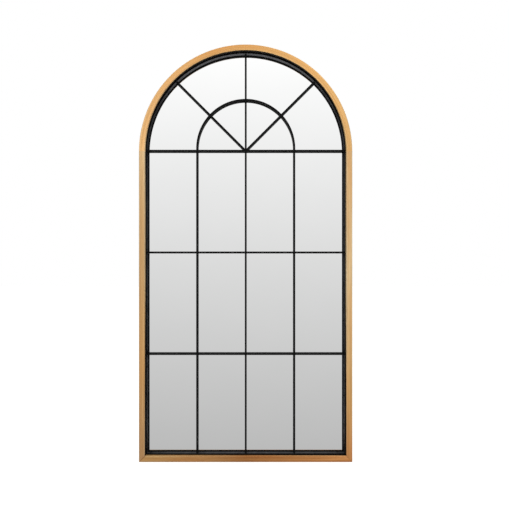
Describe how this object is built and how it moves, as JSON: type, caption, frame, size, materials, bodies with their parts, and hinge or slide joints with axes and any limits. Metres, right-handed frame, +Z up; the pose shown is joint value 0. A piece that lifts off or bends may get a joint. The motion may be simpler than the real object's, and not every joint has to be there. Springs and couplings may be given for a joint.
{
  "type": "arched window mirror",
  "caption": "Tall wall mirror shaped like a round-topped window: oak frame, black steel glazing bars over the glass, and ring hangers behind.",
  "frame": {"origin": "on the wall plane, midway between the two ring hangers, which is the centre of the arch on its spring line", "axes": "+X to the right seen from the front, +Y from the mirror into the wall (the front faces -Y), +Z up along the mirror's height"},
  "size_m": [0.92, 0.05, 1.8],
  "materials": {
    "oak": "brushed natural oak, matt lacquer",
    "beech": "plain turned beech",
    "black_steel": "black powder coat, satin",
    "mirror_glass": "silvered float glass",
    "rubber": "black rubber",
    "foam_tape": "white foam tape",
    "board": "plain brown fibreboard",
    "zinc_steel": "bright zinc plate"
  },
  "bodies": {
    "mirror": {"wood_arch": "oak", "left_stile": "oak", "right_stile": "oak", "bottom_rail": "oak", "arch_joint_dowels": "beech", "corner_splines": "beech", "grille_arch_section": "black_steel", "grille_bottom_section": "black_steel", "grille_centre_bar": "black_steel", "grille_left_bar": "black_steel", "grille_right_bar": "black_steel", "grille_spring_bar": "black_steel", "grille_middle_bar": "black_steel", "grille_lower_bar": "black_steel", "grille_inner_arc": "black_steel", "grille_left_ray": "black_steel", "grille_right_ray": "black_steel", "back_board_screws": "zinc_steel", "left_hanger_strap": "zinc_steel", "right_hanger_strap": "zinc_steel", "hanger_screws": "zinc_steel", "glazing_gasket": "rubber", "glass_setting_blocks": "rubber", "mounting_tape": "foam_tape", "mirror_glass": "mirror_glass", "back_board": "board"},
    "left_ring": {"left_hanger_ring": "zinc_steel"},
    "right_ring": {"right_hanger_ring": "zinc_steel"}
  },
  "joints": [
    {"name": "left_ring_swing", "type": "hinge", "parent": "mirror", "child": "left_ring", "pos_m": [-0.35, -0.0037, 0], "axis": [1, 0, 0], "range_deg": [0, 180]},
    {"name": "right_ring_swing", "type": "hinge", "parent": "mirror", "child": "right_ring", "pos_m": [0.35, -0.0037, 0], "axis": [1, 0, 0], "range_deg": [0, 180]}
  ]
}
